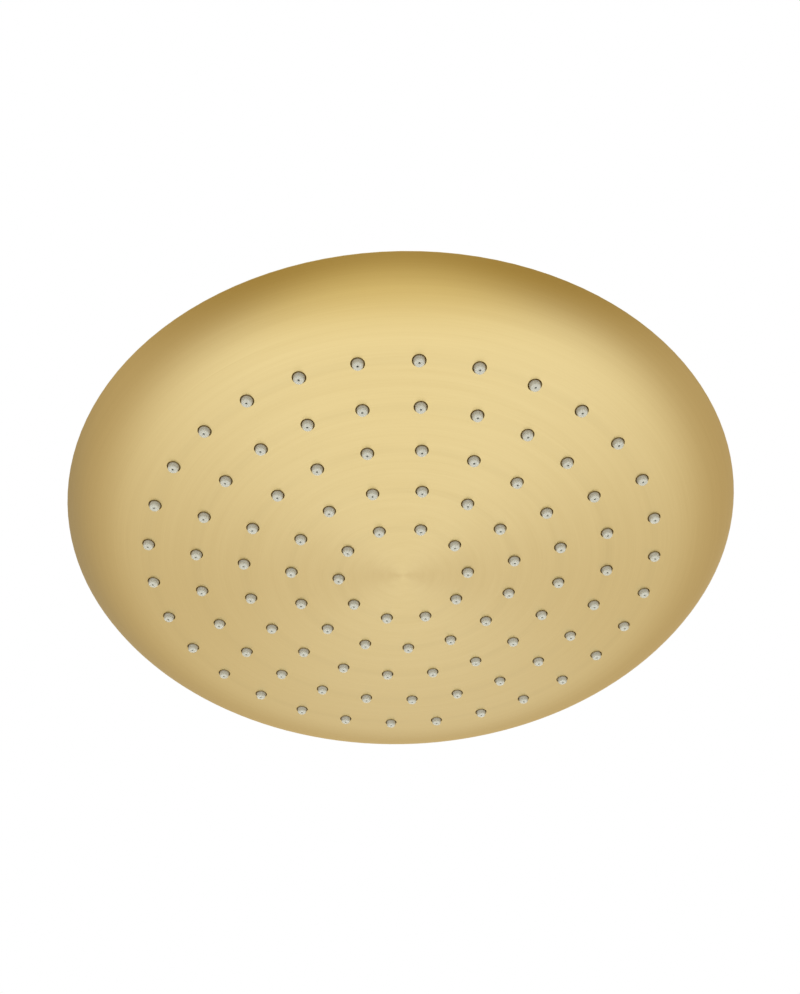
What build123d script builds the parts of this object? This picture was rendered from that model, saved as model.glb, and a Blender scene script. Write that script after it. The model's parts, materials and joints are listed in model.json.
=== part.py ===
from build123d import *
import os
from math import asin, cos, degrees, radians, sin, sqrt, tan

# Round rain shower head on a ball joint, in millimetres and degrees.
# +Z is up and the head sprays down. The origin is on the inlet's axis, at the shoulder
# in the inlet thread where the end of the supply pipe stops.

# Driving dimensions of the shell: a dome, then a shoulder of tangent arcs that tighten towards the rim
HEAD_DIAMETER = 250.0
SHELL_WALL = 1.2
CROWN_RADIUS = 1225.0  # slight dome of the face
SHOULDER_WIDTH = 27.7  # from the dome's edge out to the rim
SHOULDER_ARCS = 6
SHOULDER_GROWTH = 1.5  # power of the length along the shoulder that its slope follows
RIM_SLOPE = 54.2  # of the skin where the edge's own round begins
EDGE_ROUND = 0.3

# Nozzle field, square to the dome: each ring has one more nozzle in every sector than the last
SECTORS = 5
RINGS = 5
FIRST_RING_NOZZLES = 2  # in each sector
FIRST_RING_RADIUS = 24.0
FIELD_MARGIN = 31.4  # from the last ring to the rim
FRONT = -90.0  # direction of the line that every ring is set out from
NOZZLE_HOLE = 4.75
NOZZLE_GAP = 0.45  # round the nozzle's root in its hole
NOZZLE_REACH = 1.8  # below the face
NOZZLE_TIP = 2.5
TIP_BEVEL = 0.55
NOZZLE_TAPER = 0.15  # off the radius, from the root to the bevel
ORIFICE = 0.95
FEED_MOUTH = 2.4

# Mat, plate and seal inside the shell
LAYER_GAP = 0.05
MAT_THICKNESS = 1.5
BEAD_WIDTH = 3.0
BEAD_HEIGHT = 0.8
PLATE_THICKNESS = 2.5
PLATE_HOLE = 4.0
PLATE_LAND = 0.9  # from the last holes to the plate's rim
RIB_WIDTH = 1.6
RIB_HEIGHT = 3.0
RIB_START = 12.0  # from the axis
PLATE_RIM = 6.4
SEAL_GROOVE = 3.6
SEAL_DIAMETER = 3.0
SEAL_SQUEEZE = 0.5
SEAL_STANDOFF = 0.3  # from the plate's rim to the cover

# Back cover, its posts and its screws
COVER_WALL = 1.2
COVER_INSET = 0.4
COVER_GAP = 0.25
COVER_RISE = 5.0
COVER_BAND = 4.0  # flat band inside the plate's rim
LANDING_MARGIN = 3.0
SCREWS = 10
SCREW_DIAMETER = 4.0
SCREW_CLEARANCE = 0.05
SCREW_HOLE_CLEARANCE = 0.25
SCREW_HEAD_DIAMETER = 7.4
SCREW_HEAD_HEIGHT = 2.1
SCREW_HEAD_EDGE = 0.6
SCREW_SOCKET = 2.5
SCREW_SOCKET_DEPTH = 1.2
POST_WALL = 1.5
POST_GAP = 1.0
POST_FLOOR = 0.5
SCREW_END_GAP = 0.5

# Ball joint
BALL_DIAMETER = 25.0
BALL_FIT = 0.15
TILT_LIMIT = 15.0
RETAIN_ANGLE = 36.0  # above the ball's equator, where the ring above it ends
SEAL_ANGLE = 23.0  # below the ball's equator, where the seal under it ends
NECK_CLEARANCE = 0.8
WATER_BORE = 10.0
BORE_LIP = 0.8
HEX_CLEARANCE = 1.0
CUP_GAP = 0.4
CUP_WALL = 2.6
CUP_RISE = 1.5
SLIP_RING_GAP = 0.15
SLIP_RING_WALL = 2.0
LIP_THICKNESS = 2.0
LIP_FLARE = 1.2
COLLAR_WALL = 3.0
COLLAR_STANDOFF = 1.0
COLLAR_BEVEL = 0.8
COLLAR_FLAT_DEPTH = 1.0
COLLAR_FLAT_HEIGHT = 9.0
THREAD_GAP = 0.1

# Hub: its flange, and the shank that clamps it through the cover
HUB_BORE = 15.0
HUB_FLANGE_WIDTH = 5.5
HUB_FLANGE_THICKNESS = 3.0
HUB_BEVEL = 0.6
SHANK_WALL = 3.5
SHANK_GAP = 0.25
SHANK_TAIL = 1.5
GASKET_THICKNESS = 1.5
GASKET_INSET = 1.0
HUB_WASHER_WIDTH = 6.0
LOCK_NUT_WALL = 4.0
LOCK_NUT_HEIGHT = 5.0

# Inlet: half-inch female pipe thread, drawn as a plain wall at the thread's major diameter
THREAD_DIAMETER = 21.0
THREAD_LENGTH = 10.0
THREAD_LEAD = 0.8
HEX_WALL = 3.0
HEX_BEVEL_ANGLE = 30.0
THREAD_SHOULDER = 1.1
WASHER_THICKNESS = 2.0
WASHER_BORE = 13.0
WASHER_GAP = 0.15
WASHER_DROP = 0.15  # top of the washer below the shoulder
SCREEN_THICKNESS = 0.5
MESH_HOLE = 1.2
MESH_BAR = 0.6
SCREEN_MARGIN = 1.0
REGULATOR_LEDGE = 1.8
REGULATOR_HEIGHT = 4.0
REGULATOR_WALL = 1.8
REGULATOR_FLOOR = 1.0
REGULATOR_CORE = 4.4
REGULATOR_PORT = 1.4  # width of the ring of water round the core
REGULATOR_RIB = 1.2
REGULATOR_RIBS = 4
REGULATOR_SECTION = 2.2
CAP_THICKNESS = 1.0
CAP_HOLES = 6
CAP_HOLE = 2.6
INLET_FLOOR = 2.0

# Every height below is above the dome's centre; the pieces are moved to the inlet's shoulder last.
# The skin of the shell: slopes at the joins of its arcs, and the length of each arc of the shoulder
head_r = HEAD_DIAMETER / 2
crown_edge_r = head_r - SHOULDER_WIDTH
crown_slope = asin(crown_edge_r / CROWN_RADIUS)
rim_slope = radians(RIM_SLOPE)
rim_end_r = head_r - EDGE_ROUND * (1 - sin(rim_slope))
slope_shares = [(k / SHOULDER_ARCS) ** SHOULDER_GROWTH for k in range(SHOULDER_ARCS + 1)]
slopes = [crown_slope + share * (rim_slope - crown_slope) for share in slope_shares]
arc_turns = [b - a for a, b in zip(slopes, slopes[1:])]
arc_runs = [(sin(a + turn) - sin(a)) / turn for a, turn in zip(slopes, arc_turns)]
arc_length = (rim_end_r - crown_edge_r) / sum(arc_runs)

# The same arcs as centre radius, centre height, radius and end slope, each tangent to the one before
skin = [(0.0, 0.0, CROWN_RADIUS, crown_slope)]
for slope, turn in zip(slopes, arc_turns):
    centre_r, centre_z, last_radius, _ = skin[-1]
    arc_radius = arc_length / turn
    centre_r += (last_radius - arc_radius) * sin(slope)
    centre_z -= (last_radius - arc_radius) * cos(slope)
    skin.append((centre_r, centre_z, arc_radius, slope + turn))

# Radii of the ball joint
ball_r = BALL_DIAMETER / 2
socket_r = ball_r + BALL_FIT
bore_r = WATER_BORE / 2
slip_top = socket_r * sin(radians(RETAIN_ANGLE))
lip_r = socket_r * cos(radians(RETAIN_ANGLE))
tilt = radians(TILT_LIMIT)
neck_r = (lip_r - NECK_CLEARANCE - slip_top * tan(tilt)) * cos(tilt)
cup_r = ball_r + CUP_GAP
cup_outer_r = cup_r + CUP_WALL
collar_bore_r = cup_outer_r + THREAD_GAP
collar_r = collar_bore_r + COLLAR_WALL
slip_r = socket_r + SLIP_RING_WALL
hub_bore_r = HUB_BORE / 2
shank_r = hub_bore_r + SHANK_WALL
flange_r = cup_outer_r + HUB_FLANGE_WIDTH
cup_depth = sqrt(cup_r**2 - hub_bore_r**2)
collar_top = slip_top + SLIP_RING_GAP + LIP_THICKNESS

# Radii of the inlet
thread_r = THREAD_DIAMETER / 2
hex_flat_r = thread_r + HEX_WALL
recess_r = thread_r - THREAD_SHOULDER
pocket_r = recess_r - REGULATOR_LEDGE
regulator_r = pocket_r - WASHER_GAP
core_r = REGULATOR_CORE / 2
port_r = core_r + REGULATOR_PORT

# Heights, from the face up to the inlet's shoulder
face_z = -CROWN_RADIUS
rim_z = skin[-1][1] - (skin[-1][2] - EDGE_ROUND) * cos(rim_slope) + EDGE_ROUND
cover_z = rim_z - COVER_INSET
cover_under_z = cover_z - COVER_WALL
landing_z = cover_z + COVER_RISE
gasket_z = landing_z + GASKET_THICKNESS
flange_z = gasket_z + HUB_FLANGE_THICKNESS
ball_z = flange_z + cup_depth
hex_z = ball_z + (collar_top + HEX_CLEARANCE + hex_flat_r * sin(tilt)) / cos(tilt)
pocket_z = hex_z + INLET_FLOOR
regulator_floor_z = pocket_z + REGULATOR_FLOOR
recess_z = pocket_z + REGULATOR_HEIGHT + CAP_THICKNESS + LAYER_GAP
inlet_z = recess_z + SCREEN_THICKNESS + WASHER_THICKNESS + WASHER_DROP
hub_washer_z = landing_z - COVER_WALL - GASKET_THICKNESS
lock_nut_z = hub_washer_z - LOCK_NUT_HEIGHT
shank_z = lock_nut_z - SHANK_TAIL

# Depths of the layers below the shell's outer skin, and their radii
mat_depth = SHELL_WALL + LAYER_GAP
plate_depth = mat_depth + MAT_THICKNESS + LAYER_GAP
plate_top_depth = plate_depth + PLATE_THICKNESS
last_ring_r = head_r - FIELD_MARGIN
ring_pitch = (last_ring_r - FIRST_RING_RADIUS) / (RINGS - 1)
rim_wall_r = last_ring_r + PLATE_HOLE / 2 + PLATE_LAND
plate_r = rim_wall_r + PLATE_RIM
seal_r = rim_wall_r + PLATE_RIM / 2
mat_r = plate_r - NOZZLE_GAP
plate_rim_z = cover_under_z - SEAL_STANDOFF
seal_height = SEAL_DIAMETER - SEAL_SQUEEZE
seal_z = cover_under_z - seal_height
post_r = SCREW_DIAMETER / 2 + SCREW_CLEARANCE + POST_WALL
post_ring_r = plate_r + POST_GAP + post_r
nozzle_root_r = NOZZLE_HOLE / 2 - NOZZLE_GAP


def arcs_of_skin(depth):
    """Centre radius, centre height, radius, outer end and top of each arc, a depth inside the skin."""
    arcs = []
    for centre_r, centre_z, radius, slope in skin:
        arc_r = radius - depth
        arcs.append((centre_r, centre_z, arc_r, centre_r + arc_r * sin(slope), centre_z - arc_r * cos(slope)))
    centre_r, centre_z, arc_r = arcs[-1][:3]
    arcs[-1] = (centre_r, centre_z, arc_r, centre_r + arc_r, centre_z)  # on past the rim, where it's needed
    return arcs


def skin_arc(radius, depth):
    """Which of the arcs of the skin, or of a surface a depth inside it, a radius falls on."""
    for arc in arcs_of_skin(depth):
        if radius <= arc[3]:
            return arc
    raise ValueError("the radius is outside the shell")


def skin_point(radius, depth):
    """Point of the skin, or of the surface a depth inside it, at a radius."""
    centre_r, centre_z, arc_r = skin_arc(radius, depth)[:3]
    return (radius, centre_z - sqrt(arc_r**2 - (radius - centre_r) ** 2))


def skin_radius(height, depth):
    """Radius at which the surface a depth inside the skin reaches a height."""
    for centre_r, centre_z, arc_r, _, top in arcs_of_skin(depth):
        if height <= top:
            return centre_r + sqrt(arc_r**2 - (centre_z - height) ** 2)
    raise ValueError("the height is above the shell")


def skin_line(depth, start_r, end_r):
    """Arcs along the skin, or along the surface a depth inside it, between two radii."""
    ends = [arc[3] for arc in arcs_of_skin(depth)[:-1]]
    stops = [start_r] + [r for r in ends if start_r < r < end_r] + [end_r]
    line = []
    for a, b in zip(stops, stops[1:]):
        centre_r, centre_z, arc_r = skin_arc((a + b) / 2, depth)[:3]
        start = degrees(asin((a - centre_r) / arc_r))
        end = degrees(asin((b - centre_r) / arc_r))
        line.append(CenterArc((centre_r, centre_z), arc_r, start - 90, end - start))
    return line


def path(*points):
    """Straight edges through points given as radius and height."""
    return [Line(a, b) for a, b in zip(points, points[1:])]


def turned(edges):
    """Solid of revolution about Z, from a closed outline of radius and height."""
    return revolve(Plane.XZ * make_face(edges), Axis.Z)


def lathe(*points):
    """Solid of revolution about Z with straight-sided section."""
    return turned(path(*points, points[0]))


def tube(inner_r, outer_r, bottom, top):
    """Plain ring between two radii and two heights."""
    return lathe((inner_r, bottom), (outer_r, bottom), (outer_r, top), (inner_r, top))


def rod(radius, bottom, top):
    """Plain round bar on Z between two heights."""
    return lathe((0, bottom), (radius, bottom), (radius, top), (0, top))


def hexagon(flat_r, bottom, top):
    """Hexagonal bar on Z between two heights."""
    return Pos(0, 0, bottom) * extrude(RegularPolygon(flat_r, 6, major_radius=False), top - bottom)


def at_nozzles(shape):
    """Copies of a shape at every nozzle, swung about the dome's centre from the face's lowest point."""
    copies = []
    for ring in range(RINGS):
        ring_r = FIRST_RING_RADIUS + ring * ring_pitch
        ring_z = skin_point(ring_r, 0)[1]
        count = SECTORS * (FIRST_RING_NOZZLES + ring)
        for i in range(count):
            turn = radians(FRONT + (i + 0.5) * 360 / count)
            up = (-ring_r * cos(turn), -ring_r * sin(turn), -ring_z)
            copies.append(Plane(origin=(0, 0, 0), z_dir=up) * shape)
    return copies


def at_screws(shape):
    """Copies of a shape at every cover screw."""
    return PolarLocations(post_ring_r, SCREWS, FRONT) * shape


def make_face_shell():
    """Drawn shell with the nozzle holes, and a threaded post inside for each cover screw."""
    inner_rim_r = skin_radius(rim_z, SHELL_WALL)
    edge_r = head_r - EDGE_ROUND
    edge_top = (edge_r, rim_z)
    edge_side = (head_r, rim_z - EDGE_ROUND)
    outline = skin_line(0, 0, rim_end_r) + skin_line(SHELL_WALL, 0, inner_rim_r)
    outline += [ThreePointArc(skin_point(rim_end_r, 0), edge_side, edge_top)]
    outline += path(edge_top, (inner_rim_r, rim_z))
    outline += path(skin_point(0, 0), skin_point(0, SHELL_WALL))
    shell = turned(outline)

    embed_depth = SHELL_WALL / 2
    embed_r = skin_radius(cover_under_z, embed_depth)
    inside = skin_line(embed_depth, 0, embed_r)
    inside += path((embed_r, cover_under_z), (0, cover_under_z), skin_point(0, embed_depth))
    post = turned(inside) & Pos(post_ring_r, 0, 0) * rod(post_r, face_z, cover_under_z)
    hole_r = SCREW_DIAMETER / 2 + SCREW_CLEARANCE
    post -= Pos(post_ring_r, 0, 0) * rod(hole_r, post_hole_z(), rim_z)
    shell += PolarLocations(0, SCREWS, FRONT) * post
    return shell - at_nozzles(rod(NOZZLE_HOLE / 2, face_z - SHELL_WALL, face_z + 2 * SHELL_WALL))


def post_hole_z():
    """Bottom of the threaded hole in a post, clear of the shell's inner face."""
    hole_edge_r = post_ring_r + SCREW_DIAMETER / 2 + SCREW_CLEARANCE
    return skin_point(hole_edge_r, SHELL_WALL)[1] + POST_FLOOR


def make_nozzle_mat():
    """Silicone sheet on the shell's inner face, with a bead at its edge and all the nozzles."""
    top_depth = mat_depth + MAT_THICKNESS
    bead_depth = top_depth + BEAD_HEIGHT
    bead_r = mat_r - BEAD_WIDTH
    outline = skin_line(mat_depth, 0, mat_r) + skin_line(top_depth, 0, bead_r)
    outline += skin_line(bead_depth, bead_r, mat_r)
    outline += path(skin_point(bead_r, top_depth), skin_point(bead_r, bead_depth))
    outline += path(skin_point(mat_r, bead_depth), skin_point(mat_r, mat_depth))
    outline += path(skin_point(0, mat_depth), skin_point(0, top_depth))
    sheet = turned(outline)

    root_z = face_z + mat_depth + MAT_THICKNESS / 2
    mouth_z = face_z + mat_depth + 2 * MAT_THICKNESS
    tip_z = face_z - NOZZLE_REACH
    nozzle = lathe(
        (0, root_z),
        (nozzle_root_r, root_z),
        (nozzle_root_r, face_z),
        (nozzle_root_r - NOZZLE_TAPER, tip_z + TIP_BEVEL),
        (NOZZLE_TIP / 2, tip_z),
        (0, tip_z),
    )
    water_way = lathe(
        (0, mouth_z),
        (FEED_MOUTH / 2, mouth_z),
        (FEED_MOUTH / 2, face_z),
        (ORIFICE / 2, tip_z),
        (0, tip_z),
    )
    return sheet + at_nozzles(nozzle) - at_nozzles(water_way)


def make_spray_plate():
    """Plate that holds the mat down, with a hole over each nozzle, ribs, and a rim for the seal."""
    bead_depth = plate_depth + BEAD_HEIGHT
    bead_r = mat_r - BEAD_WIDTH - LAYER_GAP
    outline = skin_line(plate_depth, 0, bead_r) + skin_line(bead_depth, bead_r, plate_r)
    outline += path(skin_point(bead_r, plate_depth), skin_point(bead_r, bead_depth))
    outline += skin_line(plate_top_depth, 0, rim_wall_r)
    outline += path(skin_point(0, plate_depth), skin_point(0, plate_top_depth))
    outline += path(
        skin_point(rim_wall_r, plate_top_depth),
        (rim_wall_r, plate_rim_z),
        (seal_r - SEAL_GROOVE / 2, plate_rim_z),
        (seal_r - SEAL_GROOVE / 2, seal_z),
        (seal_r + SEAL_GROOVE / 2, seal_z),
        (seal_r + SEAL_GROOVE / 2, plate_rim_z),
        (plate_r, plate_rim_z),
        skin_point(plate_r, bead_depth),
    )
    rib_z = face_z + (plate_depth + plate_top_depth) / 2
    rib_top_z = skin_point(rim_wall_r, plate_top_depth)[1] + RIB_HEIGHT
    rib = Pos(RIB_START, 0, rib_z) * Box(
        rim_wall_r + PLATE_LAND - RIB_START,
        RIB_WIDTH,
        rib_top_z - rib_z,
        align=(Align.MIN, Align.CENTER, Align.MIN),
    )
    above_mat = skin_line(plate_depth + PLATE_THICKNESS / 2, 0, plate_r)
    above_mat += path(
        skin_point(plate_r, plate_depth + PLATE_THICKNESS / 2),
        (plate_r, rib_top_z),
        (0, rib_top_z),
        skin_point(0, plate_depth + PLATE_THICKNESS / 2),
    )
    ribs = PolarLocations(0, SECTORS, FRONT) * (rib & turned(above_mat))
    hole = rod(PLATE_HOLE / 2, face_z + mat_depth, face_z + plate_top_depth + MAT_THICKNESS)
    return turned(outline) + ribs - at_nozzles(hole)


def make_chamber_seal():
    """Round-section ring, flattened where the groove and the cover squeeze it."""
    side = SEAL_DIAMETER / 2
    middle_z = seal_z + seal_height / 2
    flat = sqrt(side**2 - (seal_height / 2) ** 2)
    inner = [(seal_r - flat, seal_z), (seal_r - side, middle_z), (seal_r - flat, cover_under_z)]
    outer = [(seal_r + flat, seal_z), (seal_r + side, middle_z), (seal_r + flat, cover_under_z)]
    outline = [ThreePointArc(*inner), ThreePointArc(*outer)]
    return turned(outline + path(inner[0], outer[0]) + path(inner[-1], outer[-1]))


def make_back_cover():
    """Spun lid: flat band at the screws, a rise in two arcs, and a flat landing for the hub."""
    hole_r = shank_r + SHANK_GAP
    landing_r = flange_r + LANDING_MARGIN
    band_r = rim_wall_r - COVER_BAND
    middle_r = (landing_r + band_r) / 2
    bend_r = ((middle_r - landing_r) ** 2 + (COVER_RISE / 2) ** 2) / COVER_RISE

    def rise(drop):
        upper = RadiusArc((landing_r, landing_z - drop), (middle_r, landing_z - COVER_RISE / 2 - drop), bend_r)
        lower = RadiusArc((middle_r, landing_z - COVER_RISE / 2 - drop), (band_r, cover_z - drop), -bend_r)
        return [upper, lower]

    edge_top_r = skin_radius(cover_z, SHELL_WALL) - COVER_GAP
    edge_under_r = skin_radius(cover_under_z, SHELL_WALL) - COVER_GAP
    outline = rise(0) + rise(COVER_WALL)
    outline += path((band_r, cover_z), (edge_top_r, cover_z), (edge_under_r, cover_under_z))
    outline += path((edge_under_r, cover_under_z), (band_r, cover_under_z))
    outline += path((landing_r, landing_z), (hole_r, landing_z), (hole_r, landing_z - COVER_WALL))
    outline += path((hole_r, landing_z - COVER_WALL), (landing_r, landing_z - COVER_WALL))
    screw_hole_r = SCREW_DIAMETER / 2 + SCREW_HOLE_CLEARANCE
    return turned(outline) - at_screws(rod(screw_hole_r, cover_under_z - COVER_WALL, cover_z + COVER_WALL))


def make_cover_screws():
    """Dome-headed screws with a hexagon socket."""
    head_r = SCREW_HEAD_DIAMETER / 2
    shank_end_z = post_hole_z() + SCREW_END_GAP
    top_z = cover_z + SCREW_HEAD_HEIGHT
    dome_r = (head_r**2 + (SCREW_HEAD_HEIGHT - SCREW_HEAD_EDGE) ** 2) / 2
    dome_r /= SCREW_HEAD_HEIGHT - SCREW_HEAD_EDGE
    outline = [RadiusArc((0, top_z), (head_r, cover_z + SCREW_HEAD_EDGE), dome_r)]
    outline += path(
        (head_r, cover_z + SCREW_HEAD_EDGE),
        (head_r, cover_z),
        (SCREW_DIAMETER / 2, cover_z),
        (SCREW_DIAMETER / 2, shank_end_z),
        (0, shank_end_z),
        (0, top_z),
    )
    socket = hexagon(SCREW_SOCKET / 2, top_z - SCREW_SOCKET_DEPTH, top_z + SCREW_HEAD_HEIGHT)
    return Compound(children=at_screws(turned(outline) - socket))


def make_swivel_hub():
    """Turned cup for the ball, with a flange on the cover and a shank through it."""
    top_z = ball_z + CUP_RISE
    return lathe(
        (cup_r, top_z),
        (cup_outer_r - HUB_BEVEL, top_z),
        (cup_outer_r, top_z - HUB_BEVEL),
        (cup_outer_r, flange_z),
        (flange_r - HUB_BEVEL, flange_z),
        (flange_r, flange_z - HUB_BEVEL),
        (flange_r, gasket_z),
        (shank_r, gasket_z),
        (shank_r, shank_z + HUB_BEVEL),
        (shank_r - HUB_BEVEL, shank_z),
        (hub_bore_r, shank_z),
        (hub_bore_r, flange_z),
        (cup_r, flange_z),
    )


def make_hub_gasket():
    """Flat gasket between the hub's flange and the cover."""
    return tube(shank_r + SHANK_GAP, flange_r - GASKET_INSET, landing_z, gasket_z)


def make_hub_washer():
    """Flat washer between the cover and the nut inside."""
    return tube(shank_r + SHANK_GAP, shank_r + HUB_WASHER_WIDTH, hub_washer_z, landing_z - COVER_WALL)


def make_hub_lock_nut():
    """Hexagon nut on the shank, inside the cover."""
    bore_wall_r = shank_r + THREAD_GAP
    nut = bevelled_hexagon(bore_wall_r + LOCK_NUT_WALL, lock_nut_z, hub_washer_z)
    return nut - rod(bore_wall_r, shank_z, landing_z)


def bevelled_hexagon(flat_r, bottom, top):
    """Hexagonal bar with its corners turned off at both ends."""
    corner_r = flat_r / cos(radians(30))
    drop = (corner_r - flat_r) * tan(radians(HEX_BEVEL_ANGLE))
    blank = lathe(
        (0, bottom),
        (flat_r, bottom),
        (corner_r, bottom + drop),
        (corner_r, top - drop),
        (flat_r, top),
        (0, top),
    )
    return hexagon(flat_r, bottom, top) & blank


def ball_arc(radius, low_z, high_z):
    """Arc of the ball's section, or of one round it, between two heights above its centre."""
    heights = (low_z, (low_z + high_z) / 2, high_z)
    return ThreePointArc(*[(sqrt(radius**2 - z**2), ball_z + z) for z in heights])


def make_ball_seal():
    """Soft ring in the bottom of the cup, hollowed to the ball."""
    inner_r = hub_bore_r + CUP_GAP
    outer_r = cup_r - BALL_FIT
    low = -sqrt(socket_r**2 - inner_r**2)
    high = -socket_r * sin(radians(SEAL_ANGLE))
    outline = [ball_arc(socket_r, low, high)]
    outline += path(
        (sqrt(socket_r**2 - high**2), ball_z + high),
        (outer_r, ball_z + high),
        (outer_r, flange_z),
        (inner_r, flange_z),
        (inner_r, ball_z + low),
    )
    return turned(outline)


def make_slip_ring():
    """Plastic ring over the ball, on which the head turns."""
    low = CUP_RISE + SLIP_RING_GAP
    outline = [ball_arc(socket_r, low, slip_top)]
    outline += path(
        (lip_r, ball_z + slip_top),
        (slip_r, ball_z + slip_top),
        (slip_r, ball_z + low),
        (sqrt(socket_r**2 - low**2), ball_z + low),
    )
    return turned(outline)


def make_collar_nut():
    """Ring nut on the cup, with a lip over the slip ring and two flats for a spanner."""
    bottom_z = flange_z + COLLAR_STANDOFF
    step_z = ball_z + CUP_RISE + SLIP_RING_GAP / 2
    lip_z = ball_z + slip_top + SLIP_RING_GAP
    top_z = ball_z + collar_top
    pocket_wall_r = slip_r + SLIP_RING_GAP
    nut = lathe(
        (collar_bore_r, bottom_z),
        (collar_r - COLLAR_BEVEL, bottom_z),
        (collar_r, bottom_z + COLLAR_BEVEL),
        (collar_r, top_z - COLLAR_BEVEL),
        (collar_r - COLLAR_BEVEL, top_z),
        (lip_r + LIP_FLARE, top_z),
        (lip_r, top_z - LIP_FLARE),
        (lip_r, lip_z),
        (pocket_wall_r, lip_z),
        (pocket_wall_r, step_z),
        (collar_bore_r, step_z),
    )
    flat = Box(2 * collar_r, 2 * COLLAR_FLAT_DEPTH, 2 * COLLAR_FLAT_HEIGHT)
    return nut - [Pos(0, side * collar_r, bottom_z) * flat for side in (-1, 1)]


def make_swivel_ball():
    """Ball, neck and hexagon turned from one bar, with the inlet thread and a stepped bore."""
    mouth_z = inlet_z + THREAD_LENGTH
    end_r = bore_r + BORE_LIP
    low = -sqrt(ball_r**2 - end_r**2)
    neck_low = sqrt(ball_r**2 - neck_r**2)
    outline = [ball_arc(ball_r, low, neck_low)]
    outline += path(
        (neck_r, ball_z + neck_low),
        (neck_r, hex_z + INLET_FLOOR / 2),
        (0, hex_z + INLET_FLOOR / 2),
        (0, ball_z + low),
        (end_r, ball_z + low),
    )
    solid = turned(outline) + bevelled_hexagon(hex_flat_r, hex_z, mouth_z)
    bore = lathe(
        (0, mouth_z + THREAD_LEAD),
        (thread_r + 2 * THREAD_LEAD, mouth_z + THREAD_LEAD),
        (thread_r, mouth_z - THREAD_LEAD),
        (thread_r, inlet_z),
        (recess_r, inlet_z),
        (recess_r, recess_z),
        (pocket_r, recess_z),
        (pocket_r, pocket_z),
        (bore_r, pocket_z),
        (bore_r, ball_z - ball_r),
        (0, ball_z - ball_r),
    )
    return solid - bore


def make_inlet_washer():
    """Soft washer that the end of the supply pipe presses on."""
    bottom_z = recess_z + SCREEN_THICKNESS
    return tube(WASHER_BORE / 2, recess_r - WASHER_GAP, bottom_z, bottom_z + WASHER_THICKNESS)


def make_filter_screen():
    """Disc with square meshes, held under the washer."""
    disc_r = recess_r - WASHER_GAP
    mesh_pitch = MESH_HOLE + MESH_BAR
    reach = int(disc_r / mesh_pitch)
    field_r = pocket_r - SCREEN_MARGIN
    meshes = []
    for column in range(-reach, reach + 1):
        for row in range(-reach, reach + 1):
            x, y = column * mesh_pitch, row * mesh_pitch
            if sqrt(x * x + y * y) + MESH_HOLE / 2 <= field_r:
                meshes.append(Pos(x, y, recess_z) * Box(MESH_HOLE, MESH_HOLE, 4 * SCREEN_THICKNESS))
    return rod(disc_r, recess_z, recess_z + SCREEN_THICKNESS) - meshes


def make_regulator_body():
    """Cup with a core on four ribs, and a ring-shaped port round the core."""
    top_z = pocket_z + REGULATOR_HEIGHT
    cup = lathe(
        (port_r, pocket_z),
        (regulator_r, pocket_z),
        (regulator_r, top_z),
        (regulator_r - REGULATOR_WALL, top_z),
        (regulator_r - REGULATOR_WALL, regulator_floor_z),
        (port_r, regulator_floor_z),
    )
    core = rod(core_r, pocket_z, top_z - REGULATOR_FLOOR)
    rib_run = (core_r + regulator_r) / 2
    low = (Align.MIN, Align.CENTER, Align.MIN)
    rib = Pos(0, 0, pocket_z) * Box(rib_run, REGULATOR_RIB, REGULATOR_FLOOR, align=low)
    ribs = [Rot(0, 0, 360 / REGULATOR_RIBS * i) * rib for i in range(REGULATOR_RIBS)]
    return cup + core + ribs


def make_regulator_ring():
    """Soft ring that closes on the core as the pressure rises."""
    section_r = REGULATOR_SECTION / 2
    middle_r = core_r + REGULATOR_PORT / 2 + section_r
    return Pos(0, 0, regulator_floor_z + section_r + LAYER_GAP) * Torus(middle_r, section_r)


def make_regulator_cap():
    """Disc with a ring of holes over the regulator."""
    bottom_z = pocket_z + REGULATOR_HEIGHT
    cap = rod(regulator_r, bottom_z, bottom_z + CAP_THICKNESS)
    hole = rod(CAP_HOLE / 2, pocket_z, inlet_z)
    return cap - PolarLocations((core_r + regulator_r) / 2, CAP_HOLES) * hole


pieces = {
    "face_shell": make_face_shell,
    "nozzle_mat": make_nozzle_mat,
    "spray_plate": make_spray_plate,
    "chamber_seal": make_chamber_seal,
    "back_cover": make_back_cover,
    "cover_screws": make_cover_screws,
    "swivel_hub": make_swivel_hub,
    "hub_gasket": make_hub_gasket,
    "hub_washer": make_hub_washer,
    "hub_lock_nut": make_hub_lock_nut,
    "ball_seal": make_ball_seal,
    "slip_ring": make_slip_ring,
    "collar_nut": make_collar_nut,
    "swivel_ball": make_swivel_ball,
    "inlet_washer": make_inlet_washer,
    "filter_screen": make_filter_screen,
    "regulator_body": make_regulator_body,
    "regulator_ring": make_regulator_ring,
    "regulator_cap": make_regulator_cap,
}

os.makedirs("parts", exist_ok=True)
for name, make in pieces.items():
    export_step(Pos(0, 0, -inlet_z) * make(), f"parts/{name}.step")
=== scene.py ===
import json
from math import asin, cos, pi, radians, sin, sqrt, tau

import bmesh
import bpy
from mathutils import Matrix, Vector


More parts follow.
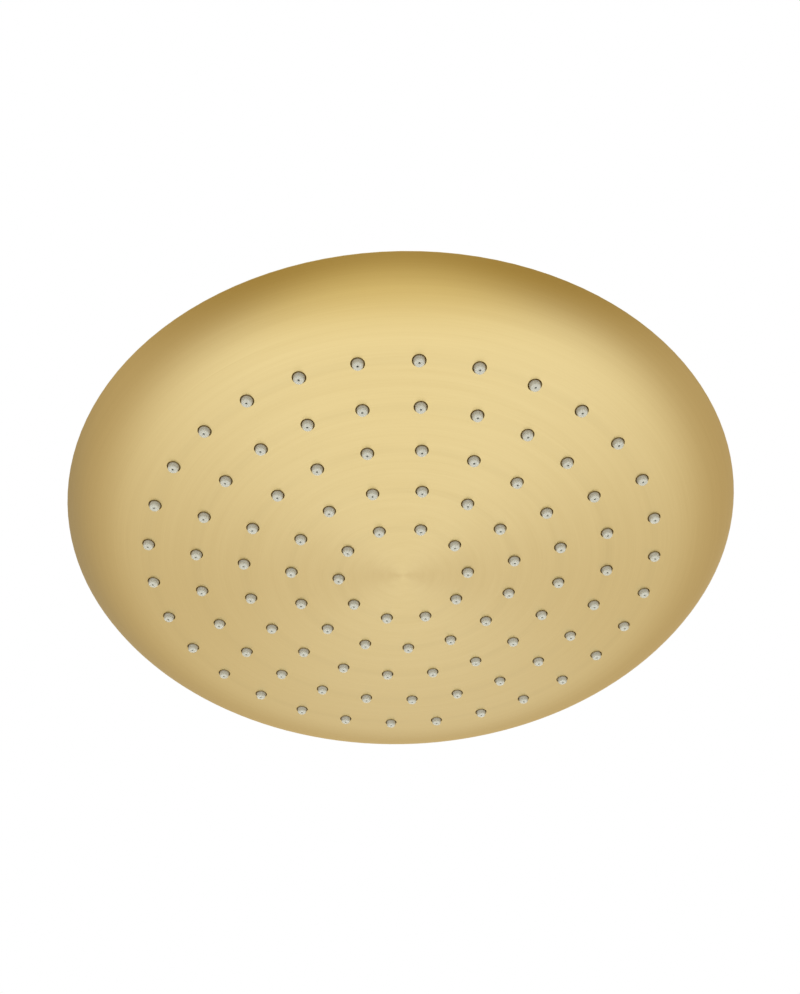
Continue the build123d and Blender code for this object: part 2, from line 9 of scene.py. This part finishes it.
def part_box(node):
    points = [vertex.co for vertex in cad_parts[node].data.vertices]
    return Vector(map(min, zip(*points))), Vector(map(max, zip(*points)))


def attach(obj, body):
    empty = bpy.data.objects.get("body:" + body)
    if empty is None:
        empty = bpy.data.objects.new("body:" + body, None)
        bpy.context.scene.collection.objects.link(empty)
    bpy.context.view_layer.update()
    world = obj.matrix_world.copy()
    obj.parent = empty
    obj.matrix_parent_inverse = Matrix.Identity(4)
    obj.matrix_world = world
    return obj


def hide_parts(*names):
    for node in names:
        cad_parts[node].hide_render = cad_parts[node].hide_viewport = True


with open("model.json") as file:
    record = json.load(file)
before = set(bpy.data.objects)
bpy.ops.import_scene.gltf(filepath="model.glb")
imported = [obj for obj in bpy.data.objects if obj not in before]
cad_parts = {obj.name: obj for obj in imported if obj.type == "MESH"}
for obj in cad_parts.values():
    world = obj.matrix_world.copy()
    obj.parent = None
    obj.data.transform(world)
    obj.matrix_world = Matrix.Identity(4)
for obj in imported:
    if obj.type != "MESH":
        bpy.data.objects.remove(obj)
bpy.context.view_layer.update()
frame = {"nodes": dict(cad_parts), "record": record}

nodes = frame["nodes"]
scene = bpy.context.scene
scene.view_settings.view_transform = "Standard"

# Camera, as fitted to the photograph: distances in metres, angles in degrees
IMAGE_HEIGHT = 994
FOCAL_PIXELS = 1093.575
SENSOR = 36.0
CLIP_START = 0.01
CAMERA_DISTANCE = 0.407  # from the lowest point of the face
CAMERA_BELOW = 44.408
CAMERA_ROUND = 1.523
CAMERA_YAW = -0.049
CAMERA_PITCH = 4.115
CAMERA_ROLL = -1.836

# Face, as in the part's source, in metres
CROWN_RADIUS = 1.225
CROWN_EDGE = 0.0973
SHOULDER_RADIUS = 0.0889  # of its first arc
SHOULDER_ARCS = 6
SHOULDER_GROWTH = 1.5  # power of the length along the shoulder that its slope follows
RIM_SLOPE = 54.2
EDGE_ROUND = 0.0003
FACE_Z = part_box("face_shell")[0].z
HEAD_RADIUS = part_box("face_shell")[1].x

# Rings of nozzles, as in the part's source
FIRST_RING = 0.024
LAST_RING = 0.0936
RINGS = 5
RING_STEP = (LAST_RING - FIRST_RING) / (RINGS - 1)
SECTORS = 5
FIRST_RING_NOZZLES = 2  # in each sector
FRONT = radians(-90)

# Mat behind the face
MAT_DEPTH = 0.00125
MAT_THICKNESS = 0.0015
BEAD_WIDTH = 0.003
BEAD_HEIGHT = 0.0008
MAT_ROWS = 24
MAT_STEPS = 120

# One nozzle, in millimetres: radii, and heights above the skin of the face
ROOT_RADIUS = 1.925
ROOT_ROUND = 0.3
ROOT_TOP = 1.25
ROOT_STEPS = 3
WALL_LINE = ((1.925, 0.0), (1.86, -0.6))
TIP_RADIUS = 1.80
TIP_REACH = 1.80
TIP_ROUND = 0.70
TIP_STEPS = 6
MOUTH_LINE = ((0.46, -1.80), (0.40, -1.785), (0.375, -1.74), (0.375, -1.56))
WATER_WAY = ((0.375, -0.9), (0.62, 0.0), (0.9, 0.9), (0.0, 0.9))
NOZZLE_STEPS = 26
MILLIMETRE = 0.001

# Inlet thread: its flank and crest as depth from the wall and height, in millimetres
THREAD_RADIUS = 0.0105
THREAD_PITCH = 0.001814
THREAD_BOTTOM = 0.0009
THREAD_TOP = 0.0086
THREAD_STEPS = 40
THREAD_RUN_OUT = THREAD_STEPS / 3
THREAD_FLANK = ((0.04, 0.78), (-0.25, 0.62), (-1.0, 0.2))
THREAD_CREST = -1.14

# Noise values lie mostly in this range
NOISE_LOW = 0.3
NOISE_HIGH = 0.7
GRAIN_DETAIL = 4.0
GRAIN_ROUGH = 0.6
GRAIN_HEIGHT = 0.00005
ROUGHNESS_SPREAD = 0.06

# Brushed metal: fine streaks and broad bands, by how quickly they change round the axis and across
STREAK_ROUND = 2.5
STREAK_ACROSS = 5200.0
STREAK_DETAIL = 3.0
STREAK_SHARE = 0.65
STREAK_BUMP = 0.12
STREAK_HEIGHT = 0.00002
BAND_ROUND = 1.3
BAND_ACROSS = 420.0
GLOSS_TURN = 0.25  # turns the drawn-out gloss across the streaks
GOLD = ((0.82, 0.685, 0.365), (0.78, 0.645, 0.335))
BRASS = ((0.76, 0.58, 0.26), (0.70, 0.52, 0.22))
STEEL = ((0.62, 0.61, 0.58), (0.52, 0.51, 0.49))

# Painted shade: faint dark patches on the face along its rings of nozzles
RING_SHADE_WIDTH = 0.003  # on each side of a ring
RING_SHADE_DEPTH = 0.03
RING_SHADE_PATCHES = 45.0
RING_SHADE_LEAST = 0.5
SKIN_MISS = 9.0  # degrees by which the mesh's normal may miss the skin's
SKIN_FADE = 3.0

# Silicone: colours of a nozzle's tip, of its wall in painted shade, and of the painted shade at its root
# where it sinks into its hole, which is also the colour its stains lean to; and the distances below the face
# where they change
TIP_COLOUR = (0.565, 0.60, 0.605)
SHADED_WALL_COLOUR = (0.55, 0.59, 0.62)
ROOT_SHADE_AND_STAIN_COLOUR = (0.34, 0.24, 0.07)
TIP_PALE = 0.0018
WALL_GREY = 0.0009
ROOT_LIGHT = 0.0005
ROOT_DARK = -0.0004
SOFT_GRAIN = 2600.0
SOFT_BUMP = 0.05
SOFT_CLOUDS = 190.0
SOFT_STAIN = 0.06
SOFT_SHINE = 0.3
SOFT_GLOW = 0.5
SOFT_GLOW_DEPTH = 0.0005

# Rubber and plastics
RUBBER = ((0.032, 0.032, 0.033), (0.022, 0.022, 0.023))
PLASTIC = ((0.52, 0.52, 0.51), (0.47, 0.47, 0.465))
NYLON = ((0.80, 0.795, 0.76), (0.75, 0.745, 0.71))
GRAINS_PER_CLOUD = 14

# Light tent: panels by azimuth, elevation, start and end of their fade, all in degrees, and colour
TENT_RADIUS = 3.0
TENT_SPLITS = 4
TENT_WALL = (0.565, 0.455, 0.30)
TENT_PANELS = {
    "roof": (90, 90, 40, 75, (0.74, 0.74, 0.74)),
    "dark board at the far left": (145, 20, 0, 45, (0.38, 0.33, 0.28)),
    "far light": (90, -37, 0, 16, (0.86, 0.83, 0.95)),
    "main light below": (60, -86, 0, 59, (1.26, 1.24, 1.17)),
    "dark board behind the camera": (275, -2, 29, 89, (0.35, 0.225, 0.024)),
    "light above the board": (270, 60, 10, 55, (1.05, 1.05, 1.05)),
    "light below the camera": (270, -62, 0, 37, (0.89, 0.765, 0.45)),
}

# Fill lamps that only matte surfaces see: azimuth, elevation, distance, power in watts, and colour
FILL_SPREAD = 0.4  # width of a lamp as a share of its distance
FILL_LAMPS = {
    "camera_side": (270, -25, 6.0, 128.0, (0.92, 1.0, 1.10)),
    "far_side": (90, -40, 2.0, 14.5, (1.0, 0.97, 0.86)),
}

# Floor and world
FLOOR_Z = -3.5
FLOOR_REACH = 6.0
FLOOR_COLOUR = (0.9, 0.9, 0.9, 1)
WORLD_LIGHT = 0.6  # strength for matte surfaces


def mesh_object(name, vertices, faces):
    """A new smooth mesh in the scene."""
    mesh = bpy.data.meshes.new(name)
    mesh.from_pydata(vertices, [], faces)
    mesh.validate()
    mesh.shade_smooth()
    thing = bpy.data.objects.new(name, mesh)
    scene.collection.objects.link(thing)
    return thing


class Shader:
    """A material's node tree, with short calls for the nodes that it uses."""

    def __init__(self, name):
        self.material = bpy.data.materials.new(name)
        self.material.use_nodes = True
        self.tree = self.material.node_tree
        self.tree.nodes.clear()
        self.output = self.add("ShaderNodeOutputMaterial")

    def add(self, kind, inputs=(), **settings):
        node = self.tree.nodes.new(kind)
        for key, value in settings.items():
            setattr(node, key, value)
        for key, value in dict(inputs).items():
            if isinstance(value, bpy.types.NodeSocket):
                self.tree.links.new(value, node.inputs[key])
            else:
                node.inputs[key].default_value = value
        return node

    def math(self, operation, a, b=0.0):
        return self.add("ShaderNodeMath", {0: a, 1: b}, operation=operation).outputs[0]

    def vector(self, operation, a, b=(0, 0, 0)):
        node = self.add("ShaderNodeVectorMath", {0: a, 1: b}, operation=operation)
        return node.outputs["Value" if operation in ("LENGTH", "DOT_PRODUCT") else "Vector"]

    def scaled(self, a, factor):
        node = self.add("ShaderNodeVectorMath", {"Vector": a, "Scale": factor}, operation="SCALE")
        return node.outputs["Vector"]

    def spread(self, value, low, high):
        """A noise value stretched over a range."""
        inputs = {"Value": value, "From Min": NOISE_LOW, "From Max": NOISE_HIGH}
        inputs.update({"To Min": low, "To Max": high})
        return self.add("ShaderNodeMapRange", inputs).outputs["Result"]

    def fade(self, value, start, end):
        """A smooth change from 0 at one value to 1 at another."""
        inputs = {"Value": value, "From Min": start, "From Max": end}
        return self.add("ShaderNodeMapRange", inputs, interpolation_type="SMOOTHSTEP").outputs["Result"]

    def place(self):
        return self.add("ShaderNodeTexCoord").outputs["Object"]

    def noise(self, where, scale, detail=2.0, rough=0.5):
        inputs = {"Vector": where, "Scale": scale, "Detail": detail, "Roughness": rough}
        return self.add("ShaderNodeTexNoise", inputs).outputs["Fac"]

    def flat_place(self):
        """Place as seen along the Z axis."""
        return self.vector("MULTIPLY", self.place(), (1, 1, 0))

    def round_place(self, around, across):
        """Place as seen along the brushing: slow round the axis, quick from the axis out."""
        flat = self.flat_place()
        turn = self.scaled(self.vector("NORMALIZE", flat), around)
        z = self.add("ShaderNodeSeparateXYZ", {0: self.place()}).outputs["Z"]
        out = self.math("ADD", self.vector("LENGTH", flat), z)
        out = self.add("ShaderNodeCombineXYZ", {2: self.math("MULTIPLY", out, across)}).outputs[0]
        return self.vector("ADD", turn, out)

    def from_dome(self):
        """Distance from the centre of the face's dome."""
        return self.vector("LENGTH", self.vector("SUBTRACT", self.place(), (0, 0, FACE_Z + CROWN_RADIUS)))

    def mix(self, factor, a, b):
        """A colour between two, each of them red, green and blue or another node's colour."""
        a, b = [c if isinstance(c, bpy.types.NodeSocket) else (*c, 1) for c in (a, b)]
        return self.add("ShaderNodeMix", {0: factor, 6: a, 7: b}, data_type="RGBA").outputs[2]

    def bump(self, height, strength, distance, **base):
        inputs = {"Height": height, "Strength": strength, "Distance": distance}
        inputs.update(base)
        return self.add("ShaderNodeBump", inputs).outputs[0]

    def surface(self, **inputs):
        named = {}
        for key, value in inputs.items():
            named[key.replace("_", " ").title().replace("Ior", "IOR")] = value
        shader = self.add("ShaderNodeBsdfPrincipled", named)
        self.tree.links.new(shader.outputs[0], self.output.inputs[0])
        return self.material


def painted_ring_shade(s):
    """Painted shade along the rings of the face's nozzles, from 0 to 1."""
    radius = s.vector("LENGTH", s.flat_place())
    ring = s.math("DIVIDE", s.math("SUBTRACT", radius, FIRST_RING), RING_STEP)
    off = s.math("ABSOLUTE", s.math("SUBTRACT", ring, s.math("ROUND", ring)))
    band = s.fade(off, RING_SHADE_WIDTH / RING_STEP, 0.0)
    inner = s.fade(radius, FIRST_RING - 2 * RING_SHADE_WIDTH, FIRST_RING - RING_SHADE_WIDTH)
    outer = s.fade(radius, LAST_RING + 2 * RING_SHADE_WIDTH, LAST_RING + RING_SHADE_WIDTH)
    patch = s.spread(s.noise(s.place(), RING_SHADE_PATCHES), RING_SHADE_LEAST, 1.0)
    return s.math("MULTIPLY", s.math("MULTIPLY", band, patch), s.math("MULTIPLY", inner, outer))


def skin_joins():
    """Radius on the face, and sine of its slope there, at the middle and at each join of its arcs."""
    start = asin(CROWN_EDGE / CROWN_RADIUS)
    turn = radians(RIM_SLOPE) - start
    slopes = [start + turn * (k / SHOULDER_ARCS) ** SHOULDER_GROWTH for k in range(SHOULDER_ARCS + 1)]
    runs = [(sin(b) - sin(a)) / (b - a) for a, b in zip(slopes, slopes[1:])]
    rim_end = HEAD_RADIUS - EDGE_ROUND * (1 - sin(slopes[-1]))
    length = (rim_end - CROWN_EDGE) / sum(runs)
    joins = [(0.0, 0.0), (CROWN_EDGE, sin(start))]
    for run, slope in zip(runs, slopes[1:]):
        joins.append((joins[-1][0] + length * run, sin(slope)))
    return joins


def skin_normal(s):
    """The true normal of the face's skin, which its mesh follows in steps; elsewhere the mesh's own."""
    radius = s.vector("LENGTH", s.flat_place())
    sine = 0.0
    joins = skin_joins()
    for (r0, sine0), (r1, sine1) in zip(joins, joins[1:]):
        inputs = {"Value": radius, "From Min": r0, "From Max": r1, "To Max": sine1 - sine0}
        sine = s.math("ADD", s.add("ShaderNodeMapRange", inputs).outputs["Result"], sine)
    cosine = s.math("SQRT", s.math("SUBTRACT", 1.0, s.math("MULTIPLY", sine, sine)))
    down = s.add("ShaderNodeCombineXYZ", {2: s.math("MULTIPLY", cosine, -1.0)}).outputs[0]
    true = s.vector("ADD", s.scaled(s.vector("NORMALIZE", s.flat_place()), sine), down)
    turned = {"vector_type": "NORMAL", "convert_from": "OBJECT", "convert_to": "WORLD"}
    true = s.add("ShaderNodeVectorTransform", {0: true}, **turned).outputs[0]
    own = s.add("ShaderNodeNewGeometry").outputs["Normal"]
    agree = s.vector("DOT_PRODUCT", own, true)
    skin = s.fade(agree, cos(radians(SKIN_MISS + SKIN_FADE)), cos(radians(SKIN_MISS)))
    return s.add("ShaderNodeMix", {0: skin, 4: own, 5: true}, data_type="VECTOR").outputs[1]


def brushed(name, pale, deep, roughness, streak, anisotropy, face=False):
    """Metal brushed round the Z axis: fine streaks, broad bands, and a gloss drawn out across them."""
    s = Shader(name)
    fine = s.noise(s.round_place(STREAK_ROUND, STREAK_ACROSS), 1.0, STREAK_DETAIL, GRAIN_ROUGH)
    broad = s.noise(s.round_place(BAND_ROUND, BAND_ACROSS), 1.0)
    both = s.math("ADD", s.math("MULTIPLY", fine, STREAK_SHARE), s.math("MULTIPLY", broad, 1 - STREAK_SHARE))
    tangent = s.add("ShaderNodeTangent", direction_type="RADIAL", axis="Z").outputs[0]
    colour = s.mix(s.spread(both, 0.0, 1.0), deep, pale)
    base = {}
    if face:
        # painted shade along the rings of nozzles
        colour = s.mix(s.math("MULTIPLY", painted_ring_shade(s), RING_SHADE_DEPTH), colour, (0, 0, 0))
        base["Normal"] = skin_normal(s)
    return s.surface(
        base_color=colour,
        metallic=1.0,
        roughness=s.spread(both, roughness + streak, roughness - streak),
        anisotropic=anisotropy,
        anisotropic_rotation=GLOSS_TURN,
        tangent=tangent,
        normal=s.bump(fine, STREAK_BUMP, STREAK_HEIGHT, **base),
    )


def soft(name, roughness):
    """Silicone: light goes some way into it; painted shade makes it greyer up its sides and dark where it
    sinks into the face.
    """
    s = Shader(name)
    fine = s.noise(s.place(), SOFT_GRAIN, GRAIN_DETAIL, GRAIN_ROUGH)
    broad = s.noise(s.place(), SOFT_CLOUDS)
    from_dome = s.from_dome()
    # painted shade: the wall turns from the tip's colour to a greyer, shaded copy of it
    side = s.fade(from_dome, CROWN_RADIUS + TIP_PALE, CROWN_RADIUS + WALL_GREY)
    # painted shade: dark in the gap where the nozzle sinks into its hole in the face
    gap_shade = s.fade(from_dome, CROWN_RADIUS + ROOT_LIGHT, CROWN_RADIUS + ROOT_DARK)
    clean = s.mix(side, TIP_COLOUR, SHADED_WALL_COLOUR)
    # random stains, leaning to the same dark colour
    stained = s.mix(s.spread(broad, 0.0, SOFT_STAIN), clean, ROOT_SHADE_AND_STAIN_COLOUR)
    return s.surface(
        base_color=s.mix(gap_shade, stained, ROOT_SHADE_AND_STAIN_COLOUR),
        specular_ior_level=SOFT_SHINE,
        roughness=s.spread(fine, roughness - ROUGHNESS_SPREAD, roughness + ROUGHNESS_SPREAD),
        normal=s.bump(fine, SOFT_BUMP, GRAIN_HEIGHT),
        subsurface_weight=SOFT_GLOW,
        subsurface_radius=(1.0, 1.0, 1.0),
        subsurface_scale=SOFT_GLOW_DEPTH,
    )


def grained(name, pale, deep, roughness, grain, bump):
    """Rubber or plastic: a fine grain, and slow changes of shade."""
    s = Shader(name)
    fine = s.noise(s.place(), grain, GRAIN_DETAIL, GRAIN_ROUGH)
    broad = s.noise(s.place(), grain / GRAINS_PER_CLOUD)
    return s.surface(
        base_color=s.mix(s.spread(broad, 0.0, 1.0), deep, pale),
        roughness=s.spread(fine, roughness - ROUGHNESS_SPREAD, roughness + ROUGHNESS_SPREAD),
        normal=s.bump(fine, bump, GRAIN_HEIGHT),
    )


# Materials by slot, and the face's own: roughness, its spread and anisotropy, or roughness, grain and bump
materials = {
    "brushed_gold": brushed("brushed_gold", *GOLD, 0.38, 0.02, 0.75),
    "face_gold": brushed("face_gold", *GOLD, 0.38, 0.02, 0.75, face=True),
    "turned_gold": brushed("turned_gold", *GOLD, 0.30, 0.03, 0.5),
    "gold_screw": brushed("gold_screw", *GOLD, 0.32, 0.04, 0.2),
    "plain_brass": brushed("plain_brass", *BRASS, 0.34, 0.05, 0.3),
    "screen_steel": brushed("screen_steel", *STEEL, 0.35, 0.05, 0.0),
    "silicone": soft("silicone", 0.42),
    "black_rubber": grained("black_rubber", *RUBBER, 0.6, 2200.0, 0.15),
    "moulded_plastic": grained("moulded_plastic", *PLASTIC, 0.5, 1500.0, 0.1),
    "nylon": grained("nylon", *NYLON, 0.45, 1500.0, 0.1),
}
for part in frame["record"]["subparts"]:
    look = "face_gold" if part["node"] == "face_shell" else part["material_slot"]
    mesh = nodes[part["node"]].data
    mesh.materials.clear()
    mesh.materials.append(materials[look])


def nozzle_axes():
    """Direction from the dome's centre to each nozzle."""
    for ring in range(RINGS):
        radius = FIRST_RING + ring * RING_STEP
        count = SECTORS * (FIRST_RING_NOZZLES + ring)
        for i in range(count):
            turn = FRONT + (i + 0.5) * tau / count
            lean = asin(radius / CROWN_RADIUS)
            yield Vector((sin(lean) * cos(turn), sin(lean) * sin(turn), -cos(lean)))


def skin_height(radius, depth):
    """Height of the surface that lies a depth inside the face's skin, above the dome's centre."""
    rise = max(0.0, radius - CROWN_EDGE) ** 2 / (2 * SHOULDER_RADIUS)
    return rise - sqrt((CROWN_RADIUS - depth) ** 2 - radius**2)


def lathe(profile, steps):
    """Vertices and faces of a profile of radius and height turned about Z."""
    vertices = []
    faces = []
    for radius, height in profile:
        for i in range(steps):
            turn = tau * i / steps
            vertices.append(Vector((radius * cos(turn), radius * sin(turn), height)))
    for row in range(len(profile) - 1):
        for i in range(steps):
            j = (i + 1) % steps
            a, b = row * steps, (row + 1) * steps
            faces.append((a + i, a + j, b + j, b + i))
    return vertices, faces


def quarter(steps):
    """Angles through a quarter turn."""
    return [step * pi / 2 / steps for step in range(steps + 1)]


def nozzle_profile():
    """A nozzle from its root on the mat to the end of its water way, as radius and height."""
    profile = []
    for turn in quarter(ROOT_STEPS):
        radius = ROOT_RADIUS + ROOT_ROUND * (1 - sin(turn))
        profile.append((radius, ROOT_TOP - ROOT_ROUND * (1 - cos(turn))))
    profile += WALL_LINE
    for turn in quarter(TIP_STEPS):
        radius = TIP_RADIUS - TIP_ROUND * (1 - cos(turn))
        profile.append((radius, TIP_ROUND * (1 - sin(turn)) - TIP_REACH))
    profile += MOUTH_LINE
    profile += WATER_WAY
    return [(radius * MILLIMETRE, height * MILLIMETRE) for radius, height in profile]


def make_nozzle_mat():
    """The soft mat: its sheet against the shell, and a round-ended nozzle in every hole."""
    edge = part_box("nozzle_mat")[1].x
    bead = edge - BEAD_WIDTH
    under = [edge * k / MAT_ROWS for k in range(MAT_ROWS + 1)]
    profile = [(r, skin_height(r, MAT_DEPTH)) for r in under]
    profile += [(r, skin_height(r, MAT_DEPTH + MAT_THICKNESS + BEAD_HEIGHT)) for r in (edge, bead)]
    profile += [(r, skin_height(r, MAT_DEPTH + MAT_THICKNESS)) for r in [bead] + under[-3::-1]]
    vertices, faces = lathe(profile, MAT_STEPS)
    shape, shape_faces = lathe(nozzle_profile(), NOZZLE_STEPS)
    for axis in nozzle_axes():
        start = len(vertices)
        turn = Vector((0, 0, -1)).rotation_difference(axis)
        vertices += [turn @ (point - Vector((0, 0, CROWN_RADIUS))) for point in shape]
        faces += [tuple(start + i for i in face) for face in shape_faces]
    dome = Vector((0, 0, FACE_Z + CROWN_RADIUS))
    return mesh_object("nozzle_mat_soft", [point + dome for point in vertices], faces)


def make_inlet_thread():
    """Ridge of the inlet's pipe thread, one helix that fades out at both ends."""
    section = [(depth, -height) for depth, height in THREAD_FLANK]
    section += [(THREAD_CREST, 0.0)]
    section += reversed(THREAD_FLANK)
    count = round((THREAD_TOP - THREAD_BOTTOM) / THREAD_PITCH * THREAD_STEPS)
    vertices = []
    faces = []
    for i in range(count + 1):
        turn = tau * i / THREAD_STEPS
        middle = THREAD_BOTTOM + THREAD_PITCH * i / THREAD_STEPS
        fade = min(1.0, i / THREAD_RUN_OUT, (count - i) / THREAD_RUN_OUT)
        for depth, height in section:
            radius = THREAD_RADIUS + (depth * fade if depth < 0 else depth) * MILLIMETRE
            vertices.append((radius * cos(turn), radius * sin(turn), middle + height * MILLIMETRE))
    width = len(section)
    for i in range(count):
        for k in range(width - 1):
            a, b = i * width + k, (i + 1) * width + k
            faces.append((a, a + 1, b + 1, b))
    return mesh_object("inlet_thread", vertices, faces)


mat = make_nozzle_mat()
mat.data.materials.append(materials["silicone"])
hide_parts("nozzle_mat")
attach(mat, "head")

thread = make_inlet_thread()
thread.data.materials.append(materials["turned_gold"])
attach(thread, "inlet")


def make_camera():
    """The photograph's camera, below the face and to its front."""
    below = radians(CAMERA_BELOW)
    around = radians(CAMERA_ROUND)
    back = Vector((sin(around) * cos(below), -cos(around) * cos(below), -sin(below)))
    heading = radians(CAMERA_ROUND - CAMERA_YAW)
    rise = radians(CAMERA_BELOW + CAMERA_PITCH)
    forward = Vector((-sin(heading) * cos(rise), cos(heading) * cos(rise), sin(rise)))
    level = forward.cross(Vector((0, 0, 1))).normalized()
    upright = level.cross(forward)
    roll = radians(CAMERA_ROLL)
    right = cos(roll) * level + sin(roll) * upright
    up = cos(roll) * upright - sin(roll) * level
    camera = bpy.data.objects.new("camera", bpy.data.cameras.new("camera"))
    camera.data.sensor_width = SENSOR
    camera.data.lens = FOCAL_PIXELS * SENSOR / IMAGE_HEIGHT
    camera.data.clip_start = CLIP_START
    turned = Matrix((right, up, -forward)).transposed().to_4x4()
    camera.matrix_world = Matrix.Translation(Vector((0, 0, FACE_Z)) + back * CAMERA_DISTANCE) @ turned
    scene.collection.objects.link(camera)
    scene.camera = camera


def make_world():
    """A world that is white to the camera, in reflections and through glass, and dimmer elsewhere."""
    world = bpy.data.worlds.new("world")
    world.use_nodes = True
    scene.world = world
    tree = world.node_tree
    background = tree.nodes["Background"]
    background.inputs["Color"].default_value = (1, 1, 1, 1)
    path = tree.nodes.new("ShaderNodeLightPath").outputs
    seen = path["Is Camera Ray"]
    for ray in ("Is Glossy Ray", "Is Transmission Ray"):
        either = tree.nodes.new("ShaderNodeMath")
        either.operation = "MAXIMUM"
        tree.links.new(seen, either.inputs[0])
        tree.links.new(path[ray], either.inputs[1])
        seen = either.outputs[0]
    strength = tree.nodes.new("ShaderNodeMapRange")
    strength.inputs["To Min"].default_value = WORLD_LIGHT
    strength.inputs["To Max"].default_value = 1.0
    tree.links.new(seen, strength.inputs["Value"])
    tree.links.new(strength.outputs["Result"], background.inputs["Strength"])


def direction(azimuth, elevation):
    """Unit vector at an azimuth from +X and an elevation, in degrees."""
    a, e = radians(azimuth), radians(elevation)
    return Vector((cos(e) * cos(a), cos(e) * sin(a), sin(e)))


def make_tent():
    """A round tent that lights the object and shows in its gloss; a later panel lies over an earlier one."""
    shape = bmesh.new()
    bmesh.ops.create_icosphere(shape, subdivisions=TENT_SPLITS, radius=TENT_RADIUS)
    tent = bpy.data.objects.new("tent", bpy.data.meshes.new("tent"))
    shape.to_mesh(tent.data)
    shape.free()
    scene.collection.objects.link(tent)
    tent.location.z = FACE_Z
    s = Shader("tent")
    towards = s.vector("NORMALIZE", s.place())
    colour = TENT_WALL
    for azimuth, elevation, inner, outer, panel in TENT_PANELS.values():
        facing = s.vector("DOT_PRODUCT", towards, direction(azimuth, elevation))
        colour = s.mix(s.fade(facing, cos(radians(outer)), cos(radians(inner))), colour, panel)
    glow = s.add("ShaderNodeEmission", {"Color": colour, "Strength": 1.0})
    s.tree.links.new(glow.outputs[0], s.output.inputs[0])
    tent.data.materials.append(s.material)
    tent.visible_camera = False
    tent.visible_transmission = False
    tent.visible_shadow = False
    return tent


def make_fill(name, azimuth, elevation, distance, power, colour):
    """Soft lamp on matte surfaces; the metal doesn't mirror it."""
    lamp = bpy.data.lights.new(name, "AREA")
    lamp.size = FILL_SPREAD * distance
    lamp.energy = power
    lamp.color = colour
    fill = bpy.data.objects.new(name, lamp)
    side = direction(azimuth, elevation)
    fill.location = Vector((0, 0, FACE_Z)) + distance * side
    fill.rotation_euler = side.to_track_quat("Z", "Y").to_euler()
    fill.visible_glossy = False
    scene.collection.objects.link(fill)


def make_floor():
    """Plain pale floor far below, white where it is seen."""
    signs = ((-1, -1), (1, -1), (1, 1), (-1, 1))
    corners = [(x * FLOOR_REACH, y * FLOOR_REACH, FLOOR_Z) for x, y in signs]
    floor = mesh_object("floor", corners, [(0, 1, 2, 3)])
    s = Shader("floor")
    path = s.add("ShaderNodeLightPath").outputs
    seen = s.math("MAXIMUM", path["Is Camera Ray"], path["Is Glossy Ray"])
    seen = s.math("MAXIMUM", seen, path["Is Transmission Ray"])
    pale = s.add("ShaderNodeBsdfDiffuse", {"Color": FLOOR_COLOUR}).outputs[0]
    white = s.add("ShaderNodeEmission").outputs[0]
    blend = s.add("ShaderNodeMixShader", {0: seen, 1: pale, 2: white})
    s.tree.links.new(blend.outputs[0], s.output.inputs[0])
    floor.data.materials.append(s.material)
    return floor


make_camera()
make_world()
for name, settings in FILL_LAMPS.items():
    make_fill(name, *settings)
make_tent()
make_floor()
